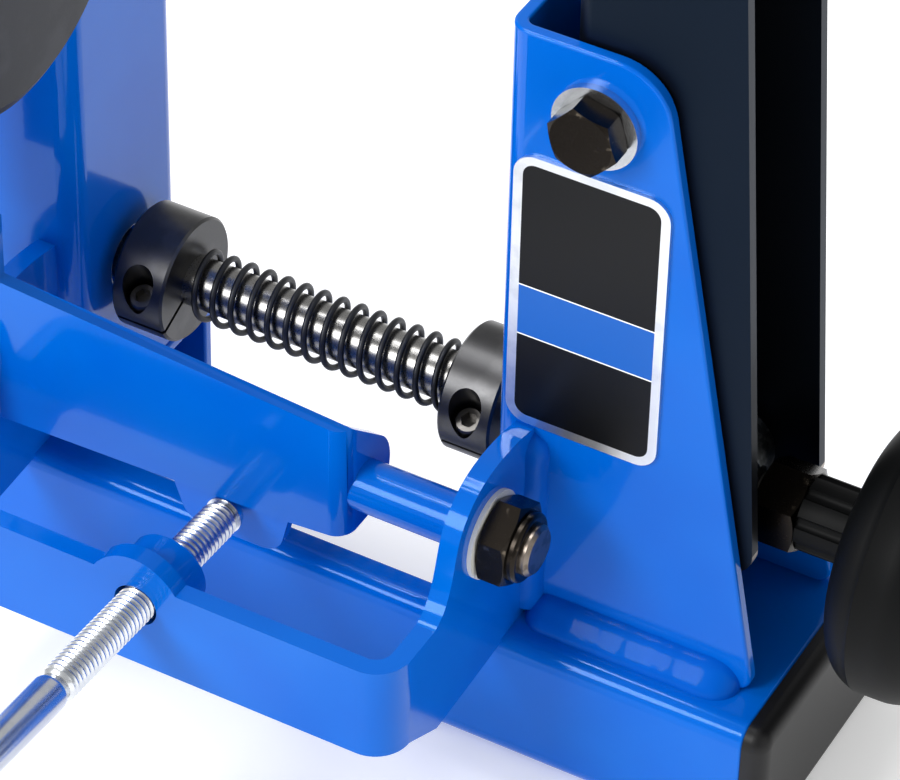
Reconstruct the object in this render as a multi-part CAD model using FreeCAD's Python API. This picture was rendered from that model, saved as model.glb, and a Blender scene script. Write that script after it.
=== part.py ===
"""Bicycle wheel truing stand: tube base, two pivoting uprights closed by one
left/right-hand screw, and a tilting caliper arm set by an adjusting rod.

Frame: X runs across the stand (right = centring knob), Y runs to the rear,
Z up; the origin is the middle of the base's underside.  Millimetres.
"""
import FreeCAD
import Part
import math
import os

V = FreeCAD.Vector

# ---- driving dimensions -------------------------------------------------
BASE_HALF_LEN = 131.0      # steel tube, without its end caps
BASE_HALF_DEPTH = 36.0
BASE_HEIGHT = 38.1
BASE_WALL = 3.2
BASE_EDGE_R = 5.0
CAP_OUT = 6.0              # end cap thickness outside the tube
CUTOUT_HALF = 56.0         # wheel cut-out in the base
CUTOUT_FRONT_Y = -26.8
SHAFT_Z = 78.1             # centring shaft above the bench
PIVOT_UP = 108.8           # upright pivot above the shaft
PIVOT_X = 79.9
SHEET = 3.4                # bracket sheet, 10 gauge
BRACKET_X = 56.5           # inboard face of the bracket web
BRACKET_HALF_Y = 23.0
BRACKET_TOP = 126.8        # above the shaft
WELD_LEG = 7.0
UPRIGHT_X = 70.8           # inboard face of the upright web
UPRIGHT_SHEET = 3.0
NEST_GAP = 0.4             # each side, upright inside its bracket
UPRIGHT_HALF_Y = BRACKET_HALF_Y - SHEET - NEST_GAP
UPRIGHT_BOTTOM = -8.0      # from the shaft
UPRIGHT_TOP = 365.0
AXLE_UP = 350.0            # wheel axle above the shaft
AXLE_SLOT = 10.0
SHAFT_R = 6.35             # half-inch shaft
RUN_FIT = 0.06             # radial running clearance
HALF_NUT_AF = 19.05        # half-inch nut across flats
BARREL_X = 101.0           # barrel nut centre
BARREL_R = 11.0
BARREL_PIN_R = 5.0
BARREL_SIDE_GAP = 1.2       # barrel to the upright's flange, each end
PIN_SHORT = 0.2            # pin end below the flange's outer face
NUT_OUT = 4.7              # barrel nut travel outboard and inboard
NUT_IN = 8.5
PIVOT_BOLT_R = 5.55
PIVOT_HEAD_AF = 15.2
AXLE_BLOCK = 10.5          # wear block standing inboard of each upright
COLLAR_X = 38.0            # inner face of each clamp collar
COLLAR_LEN = 14.0
COLLAR_R = 16.0
COLLAR_TURN = 24.0         # degrees, slit below the horizontal towards the front
CLAMP_OUT = 11.2           # clamp screw from the shaft's axis
SPRING_R = 8.2             # mean coil radius
SPRING_WIRE_R = 0.78
JAM_X = 117.0
JAM_LEN = 11.0
HUB_LEN = 16.0             # bare length of the knob's fluted neck
HUB_R = 9.25
KNOB_LEN = 27.0
KNOB_R = 35.0
KNOB_SEAT = 19.0           # depth of the shaft in the knob
ARM_Y = -43.6              # tilt axis of the caliper arm, level with the shaft
YOKE_PLATE = 4.8           # 3/16 in strap
YOKE_FRONT = -89.0
YOKE_X = 67.6
CROSS_FRONT = -52.0
RIGHT_EAR_X = 31.1          # inboard face of the arm's right ear
LEFT_EAR_X = -61.0          # outboard face of its left ear
CROSS_BEND_R = 4.8
CROSS_SHEET = 3.4           # 10 gauge plate of the arm
CROSS_LEFT_LOW = -15.1      # plate's edges at its two ends, from the shaft
CROSS_LEFT_TOP = 27.4
CROSS_RIGHT_LOW = -11.2
CROSS_RIGHT_TOP = 20.6
CROSS_MID_TOP = 21.4
ROD_R = 4.76               # 3/8 in adjusting rod
ROD_TILT = 4.0             # degrees, nose down to the rear
ROD_Z = -17.9              # rod axis at the yoke's front face, from the shaft
TAB_FACE = -45.0           # front face of the tab that the rod pushes
CONTACT_GAP = 0.3
DISC_Y = -52.7             # caliper spindle axis
DISC_UP = 128.8
DISC_R = 42.3
DISC_FACE_X = -47.0
FINGER_PIN_X = 16.0        # the two caliper pins, gear pitch radius too
FINGER_PIN_UP = 204.0
FINGER_TIP_UP = 268.0
FINGER_FRONT = -60.5
FINGER_THICK = 5.0
GEAR_MODULE = 2.0
SHUTTLE_UP = 180.0         # shuttle bar above the shaft, over the disc
SHUTTLE_Y = -50.0
TRUNNION_X = -26.0
TRUNNION_R = 4.0
RISER_OUT_X = -88.0        # rectangular tube of the arm
RISER_IN_X = -62.6
RISER_TOP = 218.0
BEAM_LOW = 192.0
BEAM_BACK = -50.0
SPINDLE_R = 3.5

os.makedirs("parts", exist_ok=True)


# ---- small helpers ------------------------------------------------------
def save(shape, node):
    """Write one sub-part as one clean solid."""
    clean = shape.removeSplitter()
    solid = clean.Solids[0] if len(clean.Solids) == 1 else clean
    print(node, "solids", len(clean.Solids), "valid", clean.isValid())
    solid.exportStep("parts/" + node + ".step")


def up(z):
    """Height above the bench of a height given from the shaft."""
    return SHAFT_Z + z


def block(x0, x1, y0, y1, z0, z1):
    return Part.makeBox(x1 - x0, y1 - y0, z1 - z0, V(x0, y0, z0))


def rod_x(radius, x0, x1, y, z):
    return Part.makeCylinder(radius, x1 - x0, V(x0, y, z), V(1, 0, 0))


def rod_y(radius, y0, y1, x, z):
    return Part.makeCylinder(radius, y1 - y0, V(x, y0, z), V(0, 1, 0))


def mirror_x(shape):
    return shape.mirror(V(0, 0, 0), V(1, 0, 0))


def prism_y(points, y0, y1):
    """Extrude an (x, z) outline from y0 to y1."""
    corners = [V(x, y0, z) for x, z in points]
    face = Part.Face(Part.makePolygon(corners + corners[:1]))
    return face.extrude(V(0, y1 - y0, 0))


def prism_x(points, x0, x1):
    """Extrude a (y, z) outline from x0 to x1."""
    corners = [V(x0, y, z) for y, z in points]
    face = Part.Face(Part.makePolygon(corners + corners[:1]))
    return face.extrude(V(x1 - x0, 0, 0))


def fillet_where(shape, radius, test):
    """Round the straight edges whose middle and direction pass the test."""
    chosen = []
    for edge in shape.Edges:
        if len(edge.Vertexes) < 2:
            continue
        a = edge.Vertexes[0].Point
        b = edge.Vertexes[1].Point
        if test((a + b) * 0.5, b - a):
            chosen.append(edge)
    return shape.makeFillet(radius, chosen)


def soften(shape, radius):
    """Round every sharp edge a little, as deburring and paint do."""
    shape = shape.removeSplitter()
    sharp = []
    for edge in shape.Edges:
        faces = shape.ancestorsOfType(edge, Part.Face)
        if edge.Length < 2.2 * radius or len(faces) != 2:
            continue
        middle = edge.valueAt((edge.FirstParameter + edge.LastParameter) / 2.0)
        normals = [f.normalAt(*f.Surface.parameter(middle)) for f in faces]
        if normals[0].getAngle(normals[1]) > 0.5:
            sharp.append(edge)
    try:
        made = shape.makeFillet(radius, sharp)
    except Exception:
        print("left sharp")
        return shape
    good = made.isValid() and len(made.Solids) == 1
    return made if good and 0 < made.Volume < shape.Volume * 1.01 else shape


def along_x(d):
    return abs(d.y) < 1e-6 and abs(d.z) < 1e-6


def along_y(d):
    return abs(d.x) < 1e-6 and abs(d.z) < 1e-6


def along_z(d):
    return abs(d.x) < 1e-6 and abs(d.y) < 1e-6


def hex_x(flats, x0, x1, y, z, turn=0.0, chamfer=True):
    """Hexagonal prism along X with turned corners."""
    corner = flats / math.sqrt(3.0)
    points = []
    for i in range(6):
        a = math.radians(turn + 60.0 * i)
        points.append((y + corner * math.cos(a), z + corner * math.sin(a)))
    body = prism_x(points, x0, x1)
    if chamfer:
        cone = chamfer_barrel(corner, flats / 2.0, x1 - x0)
        cone.rotate(V(0, 0, 0), V(0, 1, 0), 90)
        cone.translate(V(x0, y, z))
        body = body.common(cone)
    return body


def hex_y(flats, y0, y1, x, z, turn=0.0):
    """Hexagonal prism along Y with turned corners."""
    body = hex_x(flats, y0, y1, 0, 0, turn)
    body.rotate(V(0, 0, 0), V(0, 0, 1), 90)
    body.translate(V(x, 0, z))
    return body


def chamfer_barrel(corner, flat_r, length):
    """Round envelope along Z that cuts a hexagon's corners at both faces."""
    rim = corner - (corner - flat_r) * 1.1
    drop = (corner - rim) * math.tan(math.radians(30.0))
    outline = [
        V(0, 0, 0),
        V(rim, 0, 0),
        V(corner + 0.1, 0, drop),
        V(corner + 0.1, 0, length - drop),
        V(rim, 0, length),
        V(0, 0, length),
    ]
    face = Part.Face(Part.makePolygon(outline + outline[:1]))
    return face.revolve(V(0, 0, 0), V(0, 0, 1), 360)


def spin_x(outline, y, z):
    """Turn an (x, radius) outline about the X direction through (y, z)."""
    corners = [V(x, 0, r) for x, r in outline]
    face = Part.Face(Part.makePolygon(corners + corners[:1]))
    solid = face.revolve(V(0, 0, 0), V(1, 0, 0), 360)
    solid.translate(V(0, y, z))
    return solid


# ---- base ---------------------------------------------------------------
def tube_block(half_len, half_depth, z0, z1, radius):
    """Long box with its four X edges rounded."""
    body = block(-half_len, half_len, -half_depth, half_depth, z0, z1)
    return fillet_where(body, radius, lambda m, d: along_x(d))


def base_tube():
    outer = tube_block(BASE_HALF_LEN, BASE_HALF_DEPTH, 0, BASE_HEIGHT, BASE_EDGE_R)
    inner = tube_block(BASE_HALF_LEN + 1, BASE_HALF_DEPTH - BASE_WALL, BASE_WALL,
                       BASE_HEIGHT - BASE_WALL, BASE_EDGE_R - BASE_WALL)
    gap = block(-CUTOUT_HALF, CUTOUT_HALF, CUTOUT_FRONT_Y, BASE_HALF_DEPTH + 1,
                -1, BASE_HEIGHT + 1)
    gap = fillet_where(gap, 4.0, lambda m, d: along_z(d) and m.y < 0)
    return soften(outer.cut(inner).cut(gap), 0.8)


def end_cap():
    """Moulded cap with a plug that fits the tube, right-hand end."""
    x0 = BASE_HALF_LEN
    head = block(x0, x0 + CAP_OUT, -BASE_HALF_DEPTH, BASE_HALF_DEPTH, 0, BASE_HEIGHT)
    head = fillet_where(head, BASE_EDGE_R, lambda m, d: along_x(d))
    rim = [e for e in head.Edges if e.BoundBox.XMin > x0 + CAP_OUT - 0.01]
    head = head.makeFillet(4.0, rim)
    slack = BASE_WALL + 0.05
    plug = block(x0 - 14, x0, -BASE_HALF_DEPTH + slack, BASE_HALF_DEPTH - slack,
                 slack, BASE_HEIGHT - slack)
    plug = fillet_where(plug, BASE_EDGE_R - BASE_WALL, lambda m, d: along_x(d))
    hollow = block(x0 - 15, x0 - 1, -BASE_HALF_DEPTH + slack + 3,
                   BASE_HALF_DEPTH - slack - 3, slack + 3, BASE_HEIGHT - slack - 3)
    return head.fuse(plug.cut(hollow))


# ---- brackets and uprights ---------------------------------------------
def channel(x_web, sheet, half_y, z0, z1, x_far, bend_r):
    """Upright C channel, web inboard at x_web, open towards +X."""
    outer = block(x_web, x_far, -half_y, half_y, z0, z1)
    outer = fillet_where(outer, bend_r, lambda m, d: along_z(d) and m.x < x_web + 1)
    inner = block(x_web + sheet, x_far + 1, -half_y + sheet, half_y - sheet,
                  z0 - 1, z1 + 1)
    inner = fillet_where(inner, bend_r - sheet,
                         lambda m, d: along_z(d) and m.x < x_web + sheet + 1)
    return outer.cut(inner)


def bracket():
    """Pivot bracket welded on the base, right-hand side."""
    z0 = BASE_HEIGHT
    z1 = up(BRACKET_TOP)
    foot_x = 127.4
    shoulder_x = 97.7
    shoulder_z = up(115.7)
    shape = channel(BRACKET_X, SHEET, BRACKET_HALF_Y, z0, z1, foot_x + 5, 5.5)
    side = prism_y([(BRACKET_X - 1, z0), (foot_x - 0.3, z0), (shoulder_x - 2.4, z1),
                    (BRACKET_X - 1, z1)], -30, 30)
    side = fillet_where(side, 14.0, lambda m, d: along_y(d) and m.z > z1 - 1
                        and m.x > BRACKET_X + 5)
    side = fillet_where(side, 4.0, lambda m, d: along_y(d) and m.z < z0 + 1
                        and m.x > BRACKET_X + 5)
    shape = shape.common(side)
    shape = shape.cut(rod_x(8.0, BRACKET_X - 1, BRACKET_X + SHEET + 1, 0, SHAFT_Z))
    bolt_z = up(PIVOT_UP)
    shape = shape.cut(rod_y(PIVOT_BOLT_R + 0.15, -30, 30, PIVOT_X, bolt_z))
    return soften(shape, 0.8)


def weld_bead():
    """Fillet weld along the foot of the front flange, right-hand side."""
    y = -BRACKET_HALF_Y
    z = BASE_HEIGHT
    leg = WELD_LEG
    x0 = YOKE_X + leg + 0.4
    x1 = 117.0
    outline = [(y, z), (y - leg, z), (y - leg * 0.62, z + leg * 0.62), (y, z + leg)]
    bead = prism_x(outline, x0, x1)
    tips = []
    for x in (x0, x1):
        tips.append(Part.makeSphere(leg, V(x, y, z)))
    room = block(x0 - leg - 1, x1 + leg + 1, y - leg - 1, y, z, z + leg + 1)
    ends = tips[0].fuse(tips[1]).common(room)
    trim = bead.fuse(ends)
    return trim


def nut_in_upright_frame(travel):
    """Barrel nut centre seen from the tilting upright, from the pivot."""
    angle = travel / PIVOT_UP
    x = BARREL_X + travel - PIVOT_X
    z = -PIVOT_UP
    xb = x * math.cos(angle) + z * math.sin(angle)
    zb = -x * math.sin(angle) + z * math.cos(angle)
    return xb, zb


def upright():
    """Tapered channel arm, right-hand side, pivoting on its bolt."""
    z0 = up(UPRIGHT_BOTTOM)
    z1 = up(UPRIGHT_TOP)
    neck = up(UPRIGHT_TOP - 42.0)
    foot = 122.5 - 0.069 * UPRIGHT_BOTTOM
    head = 122.5 - 0.069 * 350.0
    shape = channel(UPRIGHT_X, UPRIGHT_SHEET, UPRIGHT_HALF_Y, z0, z1, 130, 4.5)
    side = prism_y([(UPRIGHT_X - 1, z0), (foot, z0), (head, neck),
                    (UPRIGHT_X + UPRIGHT_SHEET + 8, neck + 16),
                    (UPRIGHT_X + UPRIGHT_SHEET, neck + 18),
                    (UPRIGHT_X + UPRIGHT_SHEET, z1), (UPRIGHT_X - 1, z1)], -30, 30)
    side = fillet_where(side, 6.0, lambda m, d: along_y(d) and m.x > 100)
    shape = shape.common(side)
    front = prism_x([(-25, z0 - 1), (25, z0 - 1), (25, neck), (13, neck + 20),
                     (13, z1 + 1), (-13, z1 + 1), (-13, neck + 20), (-25, neck)],
                    50, 140)
    shape = shape.common(front)
    shape = shape.cut(axle_slot(50, 140))
    bolt_z = up(PIVOT_UP)
    shape = shape.cut(rod_y(PIVOT_BOLT_R + RUN_FIT, -30, 30, PIVOT_X, bolt_z))
    window = block(UPRIGHT_X - 1, UPRIGHT_X + UPRIGHT_SHEET + 1, -8, 8,
                   SHAFT_Z - 4, SHAFT_Z + 4)
    for dz in (-4, 4):
        window = window.fuse(rod_x(8, UPRIGHT_X - 1, UPRIGHT_X + UPRIGHT_SHEET + 1,
                                   0, SHAFT_Z + dz))
    shape = shape.cut(window)
    return shape.cut(barrel_slots())


def axle_slot(x0, x1):
    """Axle slot, open at the top, with a flared mouth."""
    z = up(AXLE_UP)
    top = up(UPRIGHT_TOP) + 1
    half = AXLE_SLOT / 2.0
    slot = rod_x(half, x0, x1, 0, z)
    mouth = prism_x([(-half, z), (half, z), (half, top - 6), (half + 3, top),
                     (-half - 3, top), (-half, top - 6)], x0, x1)
    return slot.fuse(mouth)


def barrel_slots():
    """Upright slots in both flanges for the barrel nut's pins."""
    x_lo, z_lo = nut_in_upright_frame(NUT_OUT)
    x_hi, z_hi = nut_in_upright_frame(-NUT_IN)
    x_rest = BARREL_X - PIVOT_X
    x_min = min(x_lo, x_hi, x_rest)
    x_max = max(x_lo, x_hi, x_rest)
    mid = PIVOT_X + (x_min + x_max) / 2.0
    half = BARREL_PIN_R + (x_max - x_min) / 2.0 + 0.3
    bolt_z = up(PIVOT_UP)
    low = bolt_z + min(z_lo, z_hi) - 0.4
    high = bolt_z + max(z_lo, z_hi) + 0.4
    slot = block(mid - half, mid + half, -30, 30, low, high)
    slot = slot.fuse(rod_y(half, -30, 30, mid, low))
    return slot.fuse(rod_y(half, -30, 30, mid, high))


def axle_plate():
    """Hardened wear block at the axle slot, inboard, right-hand side."""
    x0 = UPRIGHT_X - AXLE_BLOCK
    plate = block(x0, UPRIGHT_X, -13, 13, up(AXLE_UP) - 22, up(UPRIGHT_TOP))
    plate = fillet_where(plate, 3.0, lambda m, d: along_x(d) and m.z < up(AXLE_UP))
    plate = plate.cut(axle_slot(x0 - 1, UPRIGHT_X + 1))
    plate = soften(plate, 0.8)
    for y in (-8, 8):
        plate = plate.fuse(rod_x(3.0, x0 - 1.2, x0, y, up(AXLE_UP) - 15))
    return plate


def pivot_bolt():
    """Upright pivot bolt, head at the front, right-hand side."""
    z = up(PIVOT_UP)
    y = -BRACKET_HALF_Y - 2.0
    head = hex_y(PIVOT_HEAD_AF, y - 6.4, y, PIVOT_X, z, 14.0)
    shank = rod_y(PIVOT_BOLT_R, y, BRACKET_HALF_Y + 13, PIVOT_X, z)
    return head.fuse(shank)


def pivot_washer(y0, y1):
    z = up(PIVOT_UP)
    ring = rod_y(10.5, y0, y1, PIVOT_X, z)
    ring = ring.cut(rod_y(PIVOT_BOLT_R + 0.1, y0 - 1, y1 + 1, PIVOT_X, z))
    return ring


def pivot_nut():
    z = up(PIVOT_UP)
    y = BRACKET_HALF_Y + 2.0
    nut = hex_y(17.5, y, y + 8.5, PIVOT_X, z, 14.0)
    return nut.cut(rod_y(PIVOT_BOLT_R + 0.05, y - 1, y + 10, PIVOT_X, z))


def label_plate():
    """Plain two-colour plate on the right bracket's front face."""
    y = -BRACKET_HALF_Y
    plate = block(60.2, 99.0, y - 0.9, y, up(17.7), up(94.5))
    return fillet_where(plate, 5.5, lambda m, d: along_y(d))


# ---- caliper yoke -------------------------------------------------------
def yoke_side():
    """Outline of the yoke seen from the side, as a block across X."""
    z_low = up(-36.3)
    z_top = up(-10.2)
    rear = -BRACKET_HALF_Y
    base_y = -BASE_HALF_DEPTH - 0.1
    points = [V(0, y, up(z)) for y, z in
              ((-69.0, -10.2), (-65.9, -8.6), (-60.4, 1.9), (-57.2, 10.3),
               (-48.6, 17.1), (-39.1, 18.7), (-29.5, 18.0))]
    curve = Part.BSplineCurve()
    curve.interpolate(points)
    top_edge = curve.toShape()
    rest = [points[-1], V(0, rear, up(16.6)), V(0, rear, BASE_HEIGHT),
            V(0, base_y, BASE_HEIGHT), V(0, base_y, up(-41.0)),
            V(0, -57.0, up(-42.3)), V(0, -67.0, up(-42.8)),
            V(0, -80.0, z_low), V(0, YOKE_FRONT, z_low),
            V(0, YOKE_FRONT, z_top), points[0]]
    lines = Part.makePolygon(rest)
    wire = Part.Wire([top_edge] + lines.Edges)
    face = Part.Face(wire)
    face.translate(V(-80, 0, 0))
    return face.extrude(V(160, 0, 0))


def rod_axis_z(y):
    """Height of the adjusting rod's axis at a given depth."""
    return up(ROD_Z) - (y - YOKE_FRONT) * math.tan(math.radians(ROD_TILT))


def rod_bore(radius):
    """Tilted cylinder along the adjusting rod's axis."""
    a = math.radians(ROD_TILT)
    start = V(0, YOKE_FRONT - 20, rod_axis_z(YOKE_FRONT - 20))
    return Part.makeCylinder(radius, 60, start, V(0, math.cos(a), -math.sin(a)))


def caliper_yoke():
    """Bent strap that carries the caliper arm in front of the base."""
    outer = block(-YOKE_X, YOKE_X, YOKE_FRONT, -BRACKET_HALF_Y, 10, up(40))
    outer = fillet_where(outer, 9.0, lambda m, d: along_z(d) and m.y < -80)
    inner = block(-YOKE_X + YOKE_PLATE, YOKE_X - YOKE_PLATE, YOKE_FRONT + YOKE_PLATE,
                  0, 9, up(41))
    inner = fillet_where(inner, 4.2, lambda m, d: along_z(d) and m.y < -80)
    strap = outer.cut(inner).common(yoke_side())
    hump = rod_y(12.0, YOKE_FRONT, YOKE_FRONT + YOKE_PLATE, 0, up(ROD_Z + 0.5))
    strap = strap.fuse(hump)
    strap = strap.cut(rod_bore(ROD_R + 0.9))
    for x0 in (-YOKE_X - 1, YOKE_X - YOKE_PLATE - 1):
        strap = strap.cut(rod_x(8.2, x0, x0 + YOKE_PLATE + 2, ARM_Y, SHAFT_Z))
    return soften(strap, 0.5)


def yoke_boss():
    """Threaded boss welded behind the strap."""
    y0 = YOKE_FRONT + YOKE_PLATE
    boss = rod_y(11.5, y0, y0 + 10.5, 0, up(ROD_Z - 0.5))
    return boss.cut(rod_bore(ROD_R + RUN_FIT))


def arm_bushing():
    """Flanged bearing pair pressed in the right ear as one liner."""
    x0 = YOKE_X - YOKE_PLATE
    liner = rod_x(8.15, x0 - 1.2, YOKE_X + 1.2, ARM_Y, SHAFT_Z)
    liner = liner.fuse(rod_x(11.0, YOKE_X, YOKE_X + 1.1, ARM_Y, SHAFT_Z))
    liner = liner.fuse(rod_x(11.0, x0 - 1.1, x0, ARM_Y, SHAFT_Z))
    return liner.cut(rod_x(SHAFT_R + RUN_FIT, x0 - 5, YOKE_X + 5, ARM_Y, SHAFT_Z))


# ---- centring screw -----------------------------------------------------
def shaft_end():
    """Right-hand end of the centring shaft, inside the knob."""
    return JAM_X + JAM_LEN + HUB_LEN + KNOB_SEAT


def centering_shaft():
    x0 = -(BARREL_X + NUT_OUT + BARREL_R + 16.0)
    shaft = rod_x(SHAFT_R, x0, shaft_end(), 0, SHAFT_Z)
    tip = [e for e in shaft.Edges if e.BoundBox.XMax < x0 + 0.1]
    return shaft.makeChamfer(1.0, tip)


def turned_collar(shape):
    """Turn a clamp collar piece about the shaft to its slit's angle."""
    shape.rotate(V(0, 0, SHAFT_Z), V(1, 0, 0), COLLAR_TURN)
    return shape


def collar():
    """One-piece clamp collar, right-hand side."""
    x0 = COLLAR_X
    x1 = COLLAR_X + COLLAR_LEN
    ring = rod_x(COLLAR_R, x0, x1, 0, SHAFT_Z)
    ring = ring.makeChamfer(0.6, [e for e in ring.Edges
                                  if isinstance(e.Curve, Part.Circle)])
    ring = ring.cut(rod_x(SHAFT_R + 0.02, x0 - 1, x1 + 1, 0, SHAFT_Z))
    slit = block(x0 - 1, x1 + 1, -COLLAR_R - 2, -SHAFT_R + 1, SHAFT_Z - 0.6,
                 SHAFT_Z + 0.6)
    ring = ring.cut(slit)
    x = COLLAR_X + COLLAR_LEN / 2.0
    well = Part.makeCylinder(4.2, 20, V(x, -CLAMP_OUT, SHAFT_Z + 2.2), V(0, 0, 1))
    bore = Part.makeCylinder(2.1, 24, V(x, -CLAMP_OUT, SHAFT_Z - 9.0), V(0, 0, 1))
    return turned_collar(ring.cut(well).cut(bore))


def collar_screw():
    """Socket screw that closes the collar."""
    x = COLLAR_X + COLLAR_LEN / 2.0
    y = -CLAMP_OUT
    z = SHAFT_Z + 2.2
    head = Part.makeCylinder(3.5, 4.0, V(x, y, z), V(0, 0, 1))
    head = head.makeChamfer(0.4, [e for e in head.Edges
                                  if e.BoundBox.ZMin > z + 3.9])
    shank = Part.makeCylinder(2.0, 12.0, V(x, y, z - 10.5), V(0, 0, 1))
    socket = hex_prism_z(3.6, z + 1.6, z + 9.0, x, y)
    return turned_collar(head.fuse(shank).cut(socket))


def hex_prism_z(flats, z0, z1, x, y):
    corner = flats / math.sqrt(3.0)
    points = []
    for i in range(6):
        a = math.radians(60.0 * i)
        points.append(V(x + corner * math.cos(a), y + corner * math.sin(a), z0))
    face = Part.Face(Part.makePolygon(points + points[:1]))
    return face.extrude(V(0, 0, z1 - z0))


def centering_spring():
    """Compression spring between the collars, coil axis on the shaft."""
    length = 2.0 * (COLLAR_X - SPRING_WIRE_R - 0.2)
    coils = 14.5
    helix = Part.makeHelix(length / coils, length, SPRING_R)
    section = Part.Wire([Part.makeCircle(SPRING_WIRE_R, V(SPRING_R, 0, 0), V(0, 1, 0))])
    coil = Part.Wire(helix.Edges).makePipeShell([section], True, True)
    coil.rotate(V(0, 0, 0), V(0, 1, 0), 90)
    coil.translate(V(-length / 2.0, 0, SHAFT_Z))
    return coil


def jam_nut():
    x1 = JAM_X + JAM_LEN
    nut = hex_x(HALF_NUT_AF, JAM_X, x1, 0, SHAFT_Z, 30.0)
    return nut.cut(rod_x(SHAFT_R + 0.02, JAM_X - 1, x1 + 1, 0, SHAFT_Z))


def knob_hub():
    """Fluted neck of the knob."""
    x0 = JAM_X + JAM_LEN
    x1 = x0 + HUB_LEN
    hub = rod_x(HUB_R, x0, x1 + 2.9, 0, SHAFT_Z)
    count = 8
    for i in range(count):
        a = 2 * math.pi * (i + 0.5) / count
        y = (HUB_R + 0.65) * math.cos(a)
        z = SHAFT_Z + (HUB_R + 0.65) * math.sin(a)
        hub = hub.cut(rod_x(1.7, x0 - 1, x1, y, z))
    return hub.cut(rod_x(SHAFT_R + 0.02, x0 - 1, x1 + 4, 0, SHAFT_Z))


def centering_knob():
    """Large moulded hand knob, dished on its outer face."""
    x0 = JAM_X + JAM_LEN + HUB_LEN
    x1 = x0 + KNOB_LEN
    body = rod_x(KNOB_R, x0, x1, 0, SHAFT_Z)
    body = body.makeFillet(KNOB_LEN * 0.42, [e for e in body.Edges
                                             if isinstance(e.Curve, Part.Circle)])
    dish_r = KNOB_R * 0.55
    dish = rod_x(dish_r, x1 - 5.0, x1 + 1, 0, SHAFT_Z)
    dish = dish.makeFillet(3.0, [e for e in dish.Edges
                                 if isinstance(e.Curve, Part.Circle)
                                 and e.BoundBox.XMax < x1 - 4])
    body = body.cut(dish)
    body = body.cut(rod_x(HUB_R + 0.05, x0 - 1, x0 + 3.0, 0, SHAFT_Z))
    return body.cut(rod_x(SHAFT_R + 0.02, x0 + 2, shaft_end() + 0.05, 0, SHAFT_Z))


def barrel_nut():
    """Cross barrel on the screw with a pin at each end, right-hand side."""
    half = UPRIGHT_HALF_Y - UPRIGHT_SHEET - BARREL_SIDE_GAP
    pin = UPRIGHT_HALF_Y - PIN_SHORT
    nut = rod_y(BARREL_R, -half, half, BARREL_X, SHAFT_Z)
    nut = nut.makeChamfer(0.8, [e for e in nut.Edges
                                if isinstance(e.Curve, Part.Circle)])
    nut = nut.fuse(rod_y(BARREL_PIN_R, -pin, pin, BARREL_X, SHAFT_Z))
    return nut.cut(rod_x(SHAFT_R + RUN_FIT, BARREL_X - 15, BARREL_X + 15, 0, SHAFT_Z))


# ---- caliper arm --------------------------------------------------------
def crossbar():
    """Formed plate of the arm with its right ear bent back and its left ear welded on."""
    y0 = CROSS_FRONT
    y1 = y0 + CROSS_SHEET
    x1 = RIGHT_EAR_X + CROSS_SHEET
    rear = ARM_Y + 20
    outer = block(LEFT_EAR_X, x1, y0, rear, up(-20), up(34))
    outer = fillet_where(outer, CROSS_BEND_R, lambda m, d: along_z(d) and m.y < y1 and m.x > 0)
    inner = block(LEFT_EAR_X + CROSS_SHEET, RIGHT_EAR_X, y1, rear + 1, up(-21), up(35))
    inner = fillet_where(inner, CROSS_BEND_R - CROSS_SHEET,
                         lambda m, d: along_z(d) and m.y < y1 + 1 and m.x > 0)
    face = prism_y([(LEFT_EAR_X, up(CROSS_LEFT_LOW)), (LEFT_EAR_X, up(CROSS_LEFT_TOP)),
                    (22, up(CROSS_MID_TOP)), (x1, up(CROSS_RIGHT_TOP)), (x1, up(CROSS_RIGHT_LOW)),
                    (18, up(-12.6))], y0 - 1, rear + 1)
    bent = outer.cut(inner).common(face)
    right = ear_outline(0.0, x1 + 1, CROSS_RIGHT_LOW, CROSS_RIGHT_TOP, 12.0)
    left = ear_outline(LEFT_EAR_X - 1, 0.0, CROSS_LEFT_LOW, CROSS_LEFT_TOP, 12.0)
    bent = bent.common(right.fuse(left))
    foot = block(RISER_OUT_X, LEFT_EAR_X + CROSS_BEND_R, y0, y1, up(22), up(45))
    foot = foot.cut(block(LEFT_EAR_X + 1, LEFT_EAR_X + CROSS_BEND_R + 1, y0 - 1, y1 + 1,
                          up(CROSS_LEFT_TOP - 1.5), up(46)))
    bar = bent.fuse(foot)
    bar = bar.cut(rod_x(SHAFT_R + 0.02, RIGHT_EAR_X - 3, 40, ARM_Y, SHAFT_Z))
    bar = bar.cut(rod_x(SHAFT_R + 0.02, -70, LEFT_EAR_X + CROSS_SHEET, ARM_Y, SHAFT_Z))
    return bar


def ear_outline(x0, x1, low, high, radius):
    """Side outline of the plate and its ear, round about the tilt axis."""
    y0 = CROSS_FRONT
    y1 = y0 + CROSS_SHEET
    plate = block(x0, x1, y0 - 1, y1, up(low - 6), up(high + 6))
    reach = math.hypot(y1 - ARM_Y, high)
    touch = math.atan2(high, y1 - ARM_Y) - math.acos(radius / reach)
    web = prism_x([(y1 - 1, up(low - 1)), (ARM_Y, up(-radius)), (ARM_Y, SHAFT_Z),
                   (ARM_Y + radius * math.cos(touch), up(radius * math.sin(touch))),
                   (y1, up(high)), (y1 - 1, up(high))], x0, x1)
    disc = rod_x(radius, x0, x1, ARM_Y, SHAFT_Z)
    return plate.fuse(web).fuse(disc)


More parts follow.
